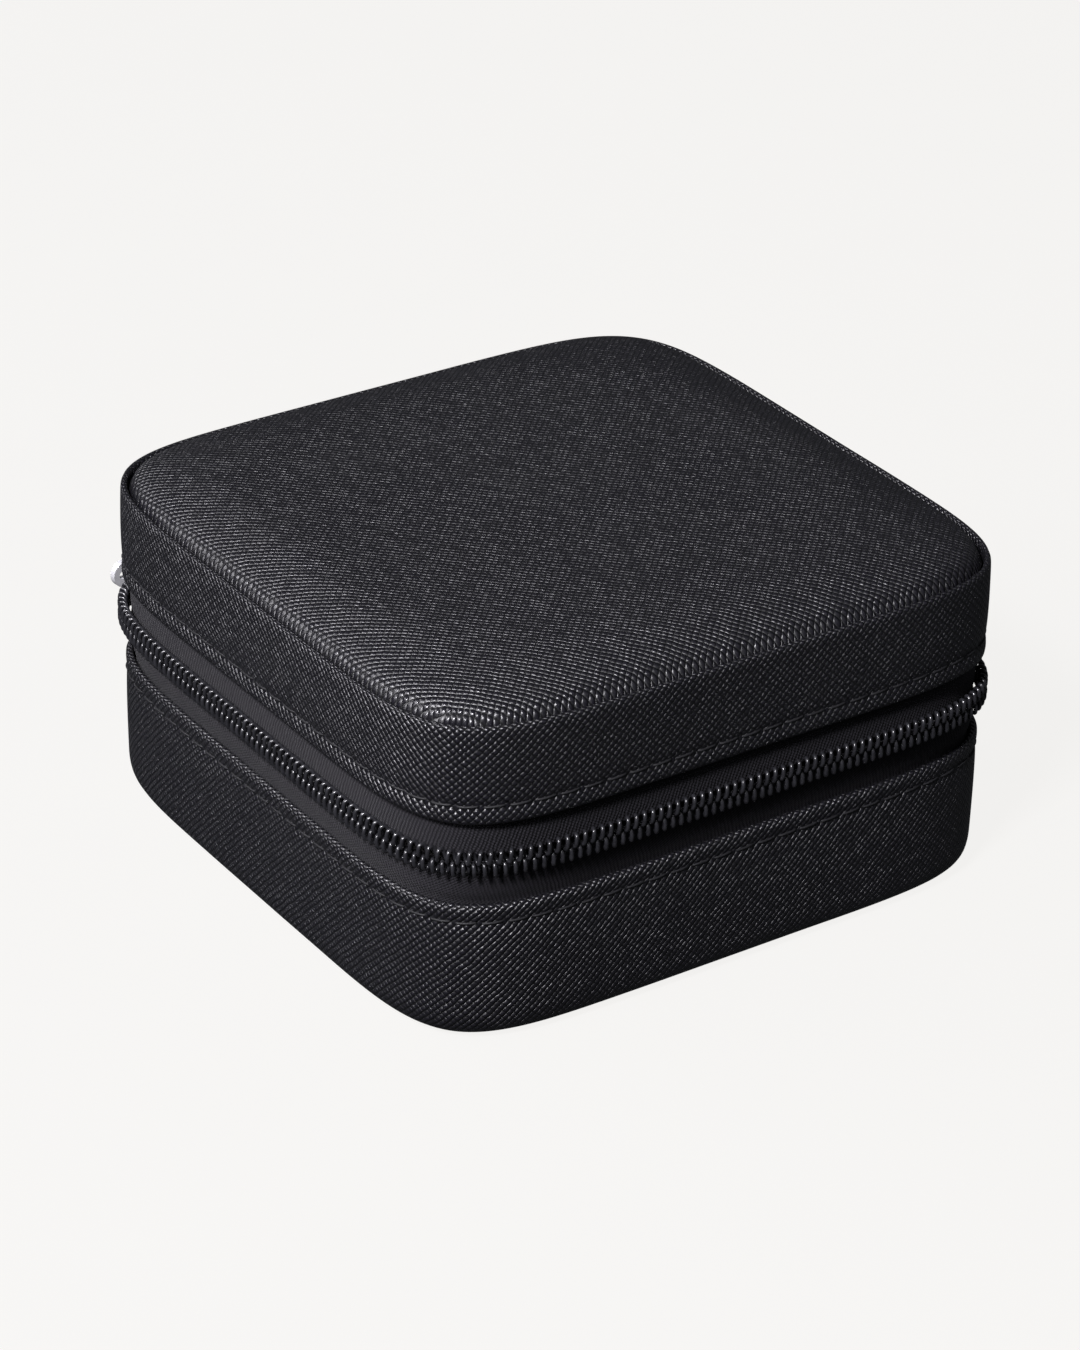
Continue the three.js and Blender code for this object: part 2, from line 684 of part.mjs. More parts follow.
const zipAxes = new THREE.Group();
zipAxes.position.set(SLIDER_X, backPoint(SLIDER_X).y, ZIP_Z);
zipAxes.rotation.set(Math.PI / 2, 0, Math.PI + SLIDER_TILT, 'ZXY');
caseGroup.add(zipAxes);

add('zip_slider', joined([
  sliderPlate(INNER_PLATE), sliderPlate(OUTER_PLATE), sliderFlange(1), sliderFlange(-1),
  sliderPost(), sliderBridge(),
]), chrome, zipAxes);

const pullAxes = new THREE.Group();
pullAxes.position.z = PULL_W;
pullAxes.rotation.y = PULL_LEAN;
zipAxes.add(pullAxes);
add('zip_pull', pullTab(), chrome, pullAxes);

export default caseGroup;
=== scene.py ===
"""The looks of a small zip-round leather jewellery case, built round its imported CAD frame.

Shapes are worked out in millimetres in the frame's own axes and turned into metres when a mesh is
made. The wall pieces follow one plan outline, and a place on it is (s, inset, z): the length along
the outline from the middle of the back by way of the left side, the depth in from the lid's outer
face, and the height.
"""

import json
import math

import bmesh
import bpy
import numpy as np
from mathutils import Matrix, Vector


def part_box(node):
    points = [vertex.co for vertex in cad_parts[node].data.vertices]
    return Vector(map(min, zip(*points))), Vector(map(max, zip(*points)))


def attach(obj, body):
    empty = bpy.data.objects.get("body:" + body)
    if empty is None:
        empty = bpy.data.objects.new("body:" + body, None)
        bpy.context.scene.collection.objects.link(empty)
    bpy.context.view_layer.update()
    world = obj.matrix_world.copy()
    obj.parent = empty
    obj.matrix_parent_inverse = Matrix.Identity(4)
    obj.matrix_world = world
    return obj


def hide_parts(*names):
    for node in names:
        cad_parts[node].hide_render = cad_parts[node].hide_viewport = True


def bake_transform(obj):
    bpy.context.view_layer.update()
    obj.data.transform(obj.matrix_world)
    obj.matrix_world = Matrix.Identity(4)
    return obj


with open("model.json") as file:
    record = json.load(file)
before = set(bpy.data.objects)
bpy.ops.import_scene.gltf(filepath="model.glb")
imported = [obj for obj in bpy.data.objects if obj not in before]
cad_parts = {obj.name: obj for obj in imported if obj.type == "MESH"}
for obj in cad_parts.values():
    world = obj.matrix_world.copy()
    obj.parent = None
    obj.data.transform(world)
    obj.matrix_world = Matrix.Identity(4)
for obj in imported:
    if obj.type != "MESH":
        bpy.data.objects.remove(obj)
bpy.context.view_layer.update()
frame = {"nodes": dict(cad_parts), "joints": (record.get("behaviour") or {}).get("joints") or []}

MM = 0.001
TAU = 2 * math.pi


def low(node):
    """The lowest corner of a node's box, in millimetres."""
    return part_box(node)[0] / MM


def high(node):
    """The highest corner of a node's box, in millimetres."""
    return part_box(node)[1] / MM


# ---- Sizes, from the frame ----

HALF_WIDTH = high("lid_side_cover").x
HALF_DEPTH = high("lid_side_cover").y
LID_EDGE_Z = low("lid_side_cover").z
LIP_Z = high("lid_side_cover").z
TOP_Z = high("lid_top_cover").z
BASE_EDGE_Z = high("base_side_cover").z
UNDERSIDE_Z = low("base_side_cover").z
BASE_IN = HALF_WIDTH - high("base_side_cover").x
ZIP_Z = (high("zip_coil_lower").z + low("zip_coil_upper").z) / 2
COIL_OUT = high("zip_coil_upper").x - HALF_WIDTH
COIL_FAR = high("zip_coil_upper").z - ZIP_Z
ZIP_START_X = high("zip_stop_upper").x
ZIP_END_X = 16.8

PLAN_EXPONENT = 6.36
CORNER_DEPTH = 9.0
LEATHER = 1.1
GRAIN_PITCH = 0.8
STITCH_PITCH = 3.7
LID_STITCH_Z = LID_EDGE_Z + 2.8
BASE_STITCH_Z = BASE_EDGE_Z - 2.7

# ---- The plan outline ----


def plan_point(angle):
    """Points of the rounded square, which is a superellipse, at angles about its middle."""
    c, s = np.cos(angle), np.sin(angle)
    total = np.abs(c / HALF_WIDTH) ** PLAN_EXPONENT + np.abs(s / HALF_DEPTH) ** PLAN_EXPONENT
    radius = total ** (-1 / PLAN_EXPONENT)
    return np.stack([radius * c, radius * s], -1)


FINE_ANGLE = np.linspace(math.pi / 2, math.pi / 2 + TAU, 14401)
FINE_POINTS = plan_point(FINE_ANGLE)
FINE_S = np.concatenate([[0], np.cumsum(np.linalg.norm(np.diff(FINE_POINTS, axis=0), axis=1))])
PERIMETER = FINE_S[-1]
GRAIN_COUNT = round(PERIMETER / (GRAIN_PITCH * math.sqrt(2)))
GRAIN_STRETCH = GRAIN_COUNT * GRAIN_PITCH * math.sqrt(2) / PERIMETER


def plan_at(s):
    """Points of the outline and their outward normals."""
    p = plan_point(np.interp(np.mod(s, PERIMETER), FINE_S, FINE_ANGLE))
    size = np.array([HALF_WIDTH, HALF_DEPTH])
    n = np.sign(p) * np.abs(p / size) ** (PLAN_EXPONENT - 1) / size
    return p, n / np.linalg.norm(n, axis=-1, keepdims=True)


def s_of_back(x):
    """The length along the outline of the back wall's point at x."""
    back = FINE_POINTS[:, 1] > 0
    order = np.argsort(FINE_POINTS[back, 0])
    s = np.where(FINE_S > PERIMETER / 2, FINE_S - PERIMETER, FINE_S)[back]
    return float(np.interp(x, FINE_POINTS[back, 0][order], s[order]))


def place(s, inset, z):
    """Points in space for arrays of s, inset and z of one shape."""
    s, inset, z = np.broadcast_arrays(*(np.asarray(a, float) for a in (s, inset, z)))
    p, n = plan_at(s)
    square_in = np.minimum(inset, CORNER_DEPTH)[..., None]
    shrink = 1 - (inset[..., None] - square_in) / (HALF_WIDTH - CORNER_DEPTH)
    return np.concatenate([(p - n * square_in) * shrink, z[..., None]], -1)


# ---- Mesh helpers ----


def make(name, points, faces, material, corner_uv=None):
    """An object from points in millimetres, with UVs in millimetres for the grain and weave."""
    mesh = bpy.data.meshes.new(name)
    mesh.from_pydata((np.asarray(points, float) * MM).tolist(), [], faces)
    if corner_uv is not None:
        layer = mesh.uv_layers.new(name="grain")
        layer.data.foreach_set("uv", np.asarray(corner_uv, np.float32).ravel())
    tidy = bmesh.new()
    tidy.from_mesh(mesh)
    bmesh.ops.recalc_face_normals(tidy, faces=tidy.faces)
    tidy.to_mesh(mesh)
    tidy.free()
    mesh.shade_smooth()
    mesh.materials.append(material)
    obj = bpy.data.objects.new(name, mesh)
    bpy.context.collection.objects.link(obj)
    return obj


def grid(name, points, uv, material, wrap_rows=False, wrap_columns=False):
    """A grid of quads. points is (rows, columns, 3), and uv has one more row or column per wrap."""
    rows, columns = points.shape[:2]
    index = np.arange(rows * columns).reshape(rows, columns)
    index = np.concatenate([index, index[:1]]) if wrap_rows else index
    index = np.concatenate([index, index[:, :1]], 1) if wrap_columns else index
    corners = [(slice(None, -1), slice(None, -1)), (slice(None, -1), slice(1, None)),
               (slice(1, None), slice(1, None)), (slice(1, None), slice(None, -1))]
    faces = np.stack([index[c] for c in corners], -1).reshape(-1, 4).tolist()
    corner_uv = np.stack([uv[c] for c in corners], 2).reshape(-1, 2)
    if wrap_rows and not wrap_columns:
        for column in (0, -1):
            faces.append(index[:-1, column].tolist())
            corner_uv = np.concatenate([corner_uv, uv[:-1, column]])
    return make(name, points.reshape(-1, 3), faces, material, corner_uv)


def soften(corners, step, rounds=2, closed=False):
    """A smooth path through the middles of a polyline's corners, with points about a step apart."""
    path = np.asarray(corners, float)
    for _ in range(rounds):
        ahead = np.roll(path, -1, 0) if closed else path[1:]
        start = path if closed else path[:-1]
        cut = np.stack([0.75 * start + 0.25 * ahead, 0.25 * start + 0.75 * ahead], 1).reshape(-1, 2)
        path = cut if closed else np.concatenate([path[:1], cut, path[-1:]])
    ends = np.concatenate([path, path[:1]]) if closed else path
    length = np.concatenate([[0], np.cumsum(np.linalg.norm(np.diff(ends, axis=0), axis=1))])
    count = max(2, round(length[-1] / step))
    at = np.linspace(0, length[-1], count + 1)
    at = at[:-1] if closed else at
    return np.stack([np.interp(at, length, ends[:, i]) for i in (0, 1)], -1)


def wobble(s, t, size, seed):
    """Slow waves over a surface, periodic round the outline."""
    rng = np.random.default_rng(seed)
    total = 0
    for turns in (3, 5, 8, 13, 21):
        a, b = rng.uniform(0, TAU, 2)
        total = total + np.sin(TAU * turns * s / PERIMETER + a + 0.35 * np.sin(t / 4 + b)) / turns ** 0.5
    return size * total / 2


def sweep(name, profile, material, step=0.8, span=None, shape=None):
    """A closed profile of [inset, z] points carried round the outline, or over a span of it."""
    if span is None:
        s = np.linspace(0, PERIMETER, round(PERIMETER / step) + 1)[:-1]
        s_uv = np.append(s, PERIMETER)
    else:
        s = np.linspace(span[0], span[1], round((span[1] - span[0]) / step) + 1)
        s_uv = s
    inset, z = np.repeat(profile[:, :1], len(s), 1), np.repeat(profile[:, 1:], len(s), 1)
    if shape:
        inset, z = shape(s[None, :], inset, z)
    around = np.concatenate([profile, profile[:1]])
    t = np.concatenate([[0], np.cumsum(np.linalg.norm(np.diff(around, axis=0), axis=1))])
    uv = np.stack(np.meshgrid(s_uv * GRAIN_STRETCH, t), -1)
    return grid(name, place(s[None, :], inset, z), uv, material, True, span is None)


def tube_arrays(path, side, radius, sides):
    """Points and quads of a round tube along a path, capped at both ends."""
    tangent = np.gradient(path, axis=0)
    tangent /= np.linalg.norm(tangent, axis=1, keepdims=True)
    first = np.cross(tangent, side)
    first /= np.linalg.norm(first, axis=1, keepdims=True)
    second = np.cross(tangent, first)
    angle = np.arange(sides) * TAU / sides
    width = np.broadcast_to(np.asarray(radius, float), (len(path),))[:, None, None]
    offset = first[:, None] * np.cos(angle)[:, None] + second[:, None] * np.sin(angle)[:, None]
    points = (path[:, None] + width * offset).reshape(-1, 3)
    i, j = np.meshgrid(np.arange(len(path) - 1), np.arange(sides), indexing="ij")
    k = (j + 1) % sides
    faces = np.stack([i * sides + j, i * sides + k, (i + 1) * sides + k, (i + 1) * sides + j], -1)
    last = (len(path) - 1) * sides
    caps = [list(range(sides))[::-1], list(range(last, last + sides))]
    return points, faces.reshape(-1, 4).tolist() + caps


def merged(parts):
    """Joins (points, faces) pairs into one pair."""
    points, faces, start = [], [], 0
    for part_points, part_faces in parts:
        points.append(part_points)
        faces += [[v + start for v in face] for face in part_faces]
        start += len(part_points)
    return np.concatenate(points), faces


def piece(obj, body, slot, *nodes):
    """Puts an object on a body, in place of CAD nodes. The slot is not used."""
    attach(obj, body)
    if nodes:
        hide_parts(*nodes)
    return obj


# ---- Materials ----


class Shader:
    """A material's node tree, with short calls for the nodes that are used most."""

    def __init__(self, name, colour, roughness, **values):
        self.material = bpy.data.materials.new(name)
        self.material.use_nodes = True
        self.tree = self.material.node_tree
        self.main = self.tree.nodes["Principled BSDF"]
        self.main.inputs["Base Color"].default_value = (*colour, 1)
        self.main.inputs["Roughness"].default_value = roughness
        for key, value in values.items():
            self.main.inputs[key.replace("_", " ")].default_value = value

    def node(self, kind, *inputs, **settings):
        made = self.tree.nodes.new(kind)
        for key, value in settings.items():
            setattr(made, key, value)
        for socket, value in zip(made.inputs, inputs):
            if isinstance(value, bpy.types.NodeSocket):
                self.tree.links.new(value, socket)
            elif value is not None:
                socket.default_value = value
        return made.outputs

    def math(self, operation, *inputs):
        return self.node("ShaderNodeMath", *inputs, operation=operation)[0]

    def coordinates(self):
        """The two millimetre coordinates that every built piece carries."""
        place = self.node("ShaderNodeUVMap", uv_map="grain")[0]
        parts = self.node("ShaderNodeSeparateXYZ", place)
        return place, parts[0], parts[1]

    def noise(self, place, scale, detail=2.0, roughness=0.5):
        made = self.tree.nodes.new("ShaderNodeTexNoise")
        self.tree.links.new(place, made.inputs["Vector"])
        made.inputs["Scale"].default_value = scale
        made.inputs["Detail"].default_value = detail
        made.inputs["Roughness"].default_value = roughness
        return made.outputs["Fac"]

    def between(self, value, low_in, high_in, low_out, high_out):
        made = self.node("ShaderNodeMapRange", value, low_in, high_in, low_out, high_out)
        return made[0]

    def colours(self, factor, *stops):
        made = self.tree.nodes.new("ShaderNodeValToRGB")
        self.tree.links.new(factor, made.inputs["Fac"])
        ramp = made.color_ramp
        while len(ramp.elements) < len(stops):
            ramp.elements.new(1)
        for element, (position, colour) in zip(ramp.elements, stops):
            element.position = position
            element.color = (*colour, 1)
        return made.outputs["Color"]

    def bump(self, height, depth_mm, under=None):
        made = self.tree.nodes.new("ShaderNodeBump")
        made.inputs["Distance"].default_value = depth_mm * MM
        made.inputs["Strength"].default_value = 1
        self.tree.links.new(height, made.inputs["Height"])
        if under is not None:
            self.tree.links.new(under, made.inputs["Normal"])
        return made.outputs["Normal"]

    def use(self, **sockets):
        for key, value in sockets.items():
            self.tree.links.new(value, self.main.inputs[key.replace("_", " ")])
        return self.material


def leather_material():
    """Cross-grained leather: small rounded bumps in rows at 45 degrees to the case's sides."""
    m = Shader("leather", (0.012, 0.012, 0.015), 0.4, Specular_IOR_Level=0.5)
    place, u, v = m.coordinates()
    drift = m.between(m.noise(place, 0.35), 0, 1, -0.35, 0.35)
    rows = math.sqrt(2) * GRAIN_PITCH
    a = m.math("DIVIDE", m.math("ADD", m.math("ADD", u, v), drift), rows)
    b = m.math("DIVIDE", m.math("ADD", m.math("SUBTRACT", u, v), drift), rows)
    ridges = []
    for line, power, valley in ((a, 0.75, 0.0), (b, 0.48, 0.15)):
        wave = m.math("ABSOLUTE", m.math("SINE", m.math("MULTIPLY", line, math.pi)))
        ridges.append(m.between(m.math("POWER", wave, power), 0, 1, valley, 1))
    cell = m.node("ShaderNodeCombineXYZ", m.math("FLOOR", a), m.math("FLOOR", b))[0]
    chance = m.node("ShaderNodeTexWhiteNoise", cell, noise_dimensions="2D")["Value"]
    bead = m.math("MULTIPLY", m.math("MULTIPLY", *ridges), m.between(chance, 0, 1, 0.6, 1))
    fine = m.noise(place, 7.0, 3.0, 0.6)
    height = m.math("ADD", bead, m.math("MULTIPLY", fine, 0.12))
    grain = m.bump(height, 0.28)
    wear = m.noise(place, 0.06, 4.0, 0.6)
    # Colour darkens in the grooves between the beads: painted shade, mixed with a random tone from bead
    # to bead and from the wear noise.
    groove_shade_and_wear = m.math("ADD", m.math("MULTIPLY", bead, 0.75), m.math("MULTIPLY", wear, 0.25))
    colour = m.colours(groove_shade_and_wear, (0.15, (0.001, 0.001, 0.0013)), (0.5, (0.004, 0.0038, 0.0055)),
                       (0.95, (0.008, 0.0075, 0.0105)))
    gloss = m.math("SUBTRACT", m.between(wear, 0.2, 0.8, 0.52, 0.42), m.math("MULTIPLY", bead, 0.24))
    return m.use(Base_Color=colour, Roughness=gloss, Normal=grain)


def tape_material():
    """The zip's woven tape: ribs across it mixed with a fine twill all over."""
    m = Shader("zip_tape", (0.008, 0.008, 0.01), 0.75, Specular_IOR_Level=0.22,
               Sheen_Weight=0.03, Sheen_Roughness=0.4)
    place, u, v = m.coordinates()
    drift = m.between(m.noise(place, 0.8), 0, 1, -0.25, 0.25)
    across = m.math("ADD", u, m.math("ADD", m.math("MULTIPLY", v, 0.35), drift))
    rib = m.math("SINE", m.math("MULTIPLY", across, TAU / 0.6))
    slant = m.math("SUBTRACT", v, m.math("MULTIPLY", u, 0.6))
    twill = m.math("SINE", m.math("MULTIPLY", slant, TAU / 0.45))
    weave = m.math("ADD", m.math("MULTIPLY", rib, 0.6), m.math("MULTIPLY", twill, 0.4))
    fuzz = m.noise(place, 12.0, 2.0)
    height = m.math("ADD", m.between(weave, -1, 1, 0, 1), m.math("MULTIPLY", fuzz, 0.3))
    # Colour darkens in the weave's hollows: painted shade, with a random tone from the fuzz noise.
    colour = m.colours(height, (0.2, (0.002, 0.002, 0.003)), (1.0, (0.009, 0.008, 0.011)))
    return m.use(Base_Color=colour, Normal=m.bump(height, 0.16))


def plain_material(name, colour, roughness, noise_scale, depth_mm, spread=0.35, **values):
    """A surface with a fine random texture in object space, used where a piece has no grain."""
    m = Shader(name, colour, roughness, **values)
    place = m.node("ShaderNodeTexCoord")["Object"]
    fine = m.noise(place, noise_scale, 4.0, 0.6)
    dark = tuple(c * (1 - spread) for c in colour)
    light = tuple(min(1.0, c * (1 + spread)) for c in colour)
    tint = m.colours(fine, (0.3, dark), (0.7, light))
    rough = m.between(fine, 0.3, 0.7, roughness * 0.85, min(1.0, roughness * 1.15))
    return m.use(Base_Color=tint, Roughness=rough, Normal=m.bump(fine, depth_mm))


leather = leather_material()
tape_cloth = tape_material()
nylon = plain_material("nylon", (0.012, 0.012, 0.014), 0.28, 900, 0.01, Specular_IOR_Level=0.6)
thread = plain_material("thread", (0.004, 0.004, 0.005), 0.65, 2500, 0.03, Specular_IOR_Level=0.3)
velvet = plain_material("velvet", (0.013, 0.013, 0.015), 0.95, 1100, 0.3, 0.6, Sheen_Weight=0.8,
                        Sheen_Roughness=0.3, Specular_IOR_Level=0.15)
board = plain_material("board", (0.016, 0.015, 0.015), 0.9, 1200, 0.05)
foam = plain_material("foam", (0.02, 0.02, 0.022), 0.95, 2200, 0.15, 0.5)
satin = plain_material("satin", (0.012, 0.012, 0.014), 0.42, 1500, 0.02, Sheen_Weight=0.3,
                       Sheen_Roughness=0.3)
chrome = plain_material("chrome", (0.74, 0.74, 0.76), 0.24, 700, 0.004, 0.06, Metallic=0.55)

# ---- Lid leather ----


def pucker(s, z, stitch_z):
    """How far the leather is drawn in along a row of stitches, deepest at their holes."""
    hole = 0.5 + 0.5 * np.cos(TAU * s * round(PERIMETER / STITCH_PITCH) / PERIMETER)
    near = np.exp(-(((z - stitch_z) / 0.45) ** 2))
    return near * (0.1 + 0.16 * hole ** 2)


def lid_band_shape(s, inset, z):
    """Puckers at the stitches and slow waves, for the lid's side."""
    outer = inset < LEATHER / 2
    drawn = np.where(outer, pucker(s, z, LID_STITCH_Z), 0)
    return inset + drawn + wobble(s, z, 0.07, 3), z + wobble(s, z, 0.06, 4) * (z < LID_EDGE_Z + 2)


def lid_band():
    """The side of the lid: a rolled hem at the zip, a flat face and a thin lip round the panel."""
    e, t = LID_EDGE_Z, LIP_Z
    profile = soften([
        (0.5, e - 0.05), (-0.12, e + 0.1), (-0.16, e + 1.4), (0.02, e + 2.6), (0.02, e + 3.1),
        (-0.1, e + 4.2), (-0.16, e + 8), (-0.06, t - 2.2), (0.02, t - 0.4), (0.25, t + 0.02),
        (0.75, t + 0.02), (1.02, t - 0.4), (1.05, t - 2.5), (1.1, e + 8), (1.1, e + 0.8),
        (1.0, e + 0.02),
    ], 0.5, closed=True)
    return sweep("lid_band_leather", profile, leather, shape=lid_band_shape)


def stitches(name, z, inset):
    """A row of separate thread stitches that dip into the leather at both ends."""
    count = round(PERIMETER / STITCH_PITCH)
    parts = []
    for i in range(count):
        centre = (i + 0.5) * PERIMETER / count
        along = np.array([-1.0, -0.92, -0.75, -0.4, 0, 0.4, 0.75, 0.92, 1.0]) * 0.42 * STITCH_PITCH
        rise = np.array([0.5, 0.3, 0.12, 0.05, 0.02, 0.05, 0.12, 0.3, 0.5])
        slant = along * 0.06
        path = place(centre + along, inset + rise, z + slant)
        normal = plan_at(centre + along)[1]
        side = np.concatenate([np.zeros_like(normal), np.ones((len(along), 1))], 1)
        parts.append(tube_arrays(path, side, 0.2, 6))
    return make(name, *merged(parts), thread)


CROWN_RUN = 12.6
CROWN_DROP = 1.6
CROWN_POWER = 2.2
EDGE_ROLL = 2.3
EDGE_ROLL_RUN = 0.65
PANEL_IN = LEATHER + 0.3
PANEL_STEP = 2.0
PUFF_CAP = 0.3
PINNED_RINGS = 4


def crown(inset):
    """Height of the padded panel at a depth in from the lid's outer face."""
    along = np.clip((inset - PANEL_IN) / CROWN_RUN, 0, 1)
    roll = EDGE_ROLL * np.exp(-(inset - PANEL_IN) / EDGE_ROLL_RUN)
    return TOP_Z - CROWN_DROP * (1 - along) ** CROWN_POWER - roll


def rings_mesh(name, insets, heights, material, step):
    """Rings of the outline at several depths, closed at both ends, with plan coordinates as UVs."""
    s = np.linspace(0, PERIMETER, round(PERIMETER / step) + 1)[:-1]
    points = place(s[None, :], np.asarray(insets)[:, None], np.asarray(heights)[:, None])
    rows, columns = points.shape[:2]
    flat = np.concatenate([points.reshape(-1, 3), [[0, 0, heights[-1]], [0, 0, heights[0]]]])
    i, j = np.meshgrid(np.arange(rows - 1), np.arange(columns), indexing="ij")
    k = (j + 1) % columns
    this, after = i * columns, (i + 1) * columns
    quads = np.stack([this + j, this + k, after + k, after + j], -1)
    start = (rows - 1) * columns
    middle = rows * columns
    fans = [[start + a, start + (a + 1) % columns, middle] for a in range(columns)]
    fans += [[(a + 1) % columns, a, middle + 1] for a in range(columns)]
    faces = quads.reshape(-1, 4).tolist() + fans
    corner_uv = np.concatenate([flat[face, :2] for face in faces])
    return make(name, flat, faces, material, corner_uv)


SIMULATED_FRAMES = 20
EVENING_ROUNDS = 30


def puffed(obj, cap_mm, pinned, columns):
    """Swells a pad with a short cloth simulation and evens the swelling out round each ring."""
    before = np.array([v.co for v in obj.data.vertices])
    hold = obj.vertex_groups.new(name="hold")
    hold.add([int(i) for i in np.flatnonzero(pinned)], 1.0, "REPLACE")
    cloth = obj.modifiers.new("cloth", "CLOTH")
    cloth.settings.use_pressure = True
    cloth.settings.uniform_pressure_force = 4
    cloth.settings.effector_weights.gravity = 0
    cloth.settings.vertex_group_mass = "hold"
    cloth.settings.quality = 8
    cloth.collision_settings.use_collision = False
    scene = bpy.context.scene
    for number in range(1, SIMULATED_FRAMES + 1):
        scene.frame_set(number)
    shaped = obj.evaluated_get(bpy.context.evaluated_depsgraph_get())
    after = np.array([v.co for v in shaped.to_mesh().vertices])
    shaped.to_mesh_clear()
    obj.modifiers.remove(cloth)
    obj.vertex_groups.remove(hold)
    scene.frame_set(1)
    moved = after - before
    size = np.linalg.norm(moved, axis=1, keepdims=True)
    limited = moved * np.minimum(1, cap_mm * MM / np.maximum(size, 1e-9))
    rings = limited[:-2].reshape(-1, columns, 3)
    for _ in range(EVENING_ROUNDS):
        rings = (np.roll(rings, 1, axis=1) + 2 * rings + np.roll(rings, -1, axis=1)) / 4
    limited[:-2] = rings.reshape(-1, 3)
    obj.data.vertices.foreach_set("co", (before + limited).ravel())
    return obj


def lid_panel():
    """The padded top: leather over foam, rolled down into the groove inside the lip."""
    skirt = [PANEL_IN - 0.22, PANEL_IN - 0.12]
    crowned = [PANEL_IN + x for x in (0, 0.2, 0.45, 0.8, 1.3, 2, 2.9, 4, 5.3, 6.9, 8.8, 11, 13.2)]
    crowned += [17.5, 22, 28, 35, 42, 47]
    foot = low("lid_top_cover").z
    heights = [foot, foot + 0.2] + [float(crown(inset)) for inset in crowned]
    panel = rings_mesh("lid_panel_leather", skirt + crowned, heights, leather, PANEL_STEP)
    columns = round(PERIMETER / PANEL_STEP)
    number = np.arange(len(panel.data.vertices))
    pinned = (number < PINNED_RINGS * columns) | (number == len(number) - 1)
    puffed(panel, PUFF_CAP, pinned, columns)
    finer = panel.modifiers.new("finer", "SUBSURF")
    finer.levels = finer.render_levels = 1
    return panel


piece(lid_band(), "lid", "leather", "lid_side_cover")
panel = piece(lid_panel(), "lid", "leather", "lid_top_cover")
piece(stitches("lid_hem_stitches", LID_STITCH_Z, 0.05), "lid", "leather")

# ---- Base leather ----


def base_band_shape(s, inset, z):
    """Puckers at the stitches and slow waves, for the base's side."""
    outer = inset < BASE_IN + LEATHER / 2
    drawn = np.where(outer, pucker(s, z, BASE_STITCH_Z) * 0.7, 0)
    rise = wobble(s, z, 0.06, 6) * (z > BASE_EDGE_Z - 2)
    return inset + drawn + wobble(s, z, 0.07, 5), z + rise


def base_band():
    """The side of the base, from its cut edge at the zip down round the soft bottom edge."""
    e, b, o = BASE_EDGE_Z, UNDERSIDE_Z, BASE_IN
    profile = soften([
        (o + 0.45, e + 0.03), (o - 0.06, e - 0.1), (o - 0.1, e - 1.2), (o + 0.04, e - 2.5),
        (o + 0.04, e - 3.0), (o - 0.06, e - 4.2), (o - 0.12, e - 9), (o - 0.05, b + 5.5),
        (o + 0.0, b + 3.4), (o + 0.45, b + 1.5), (o + 1.6, b + 0.4), (o + 3.6, b - 0.05),
        (o + 7.9, b), (o + 8.0, b + 1.0), (o + 3.8, b + 1.1), (o + 1.3, b + 3.6), (o + 1.1, b + 6),
        (o + 1.1, e - 0.6), (o + 0.95, e - 0.05),
    ], 0.5, closed=True)
    return sweep("base_band_leather", profile, leather, shape=base_band_shape)


piece(base_band(), "base", "leather", "base_side_cover")
piece(stitches("base_hem_stitches", BASE_STITCH_Z, BASE_IN + 0.02), "base", "leather")

# ---- Zip ----

TAPE_IN = 1.1
TAPE_THICK = 0.5
SPINE_HALF = high("spine_lower").x


def zip_tape(name, edge_z, side, hem_in):
    """One woven tape, from behind the leather's hem to behind the coil."""
    edge = abs(edge_z - ZIP_Z)
    outline = soften([
        (hem_in, edge + 3.5), (hem_in, edge - 0.2), (TAPE_IN, edge - 1.2), (TAPE_IN - 0.06, 1.9),
        (TAPE_IN, 0.35), (TAPE_IN + TAPE_THICK, 0.35), (TAPE_IN + TAPE_THICK, edge - 1.2),
        (hem_in + TAPE_THICK, edge - 0.2), (hem_in + TAPE_THICK, edge + 3.5),
    ], 0.35, closed=True)
    profile = np.stack([outline[:, 0], ZIP_Z + side * outline[:, 1]], -1)
    span = (s_of_back(-SPINE_HALF - 0.6), PERIMETER + s_of_back(ZIP_END_X))
    return sweep(name, profile, tape_cloth, span=span)


COIL_PITCH = 1.37
WIRE = 0.3
WIRE_SIDES = 7
LOOP_STEPS = 14
LOOP_FLATNESS = 0.75
COIL_INTO_TAPE = 0.65
HEAD_OVERLAP = 0.25
HEAD_SPREAD = 0.11


def zip_coil(name, side, offset):
    """One side of the nylon coil: a wire wound in flattened loops whose heads meet the other side's."""
    start = s_of_back(ZIP_START_X - 0.9)
    end = PERIMETER + s_of_back(ZIP_END_X)
    turns = int((end - start) / COIL_PITCH) - 1
    t = np.arange(turns * LOOP_STEPS + 1) / LOOP_STEPS
    c, w = np.cos(TAU * t), np.sin(TAU * t)
    reach = (COIL_FAR - 2 * WIRE + HEAD_OVERLAP) / 2
    z = ZIP_Z + side * (COIL_FAR - WIRE - reach - reach * np.sign(c) * np.abs(c) ** LOOP_FLATNESS)
    depth = (COIL_OUT + COIL_INTO_TAPE - 2 * WIRE) / 2
    out = COIL_OUT - WIRE - depth + depth * np.sign(w) * np.abs(w) ** LOOP_FLATNESS
    s = start + COIL_PITCH * (t + offset + HEAD_SPREAD * c)
    path = place(s, -out, z)
    normal = plan_at(s)[1]
    along = np.stack([-normal[:, 1], normal[:, 0], np.zeros(len(s))], -1)
    return make(name, *tube_arrays(path, along, WIRE, WIRE_SIDES), nylon)


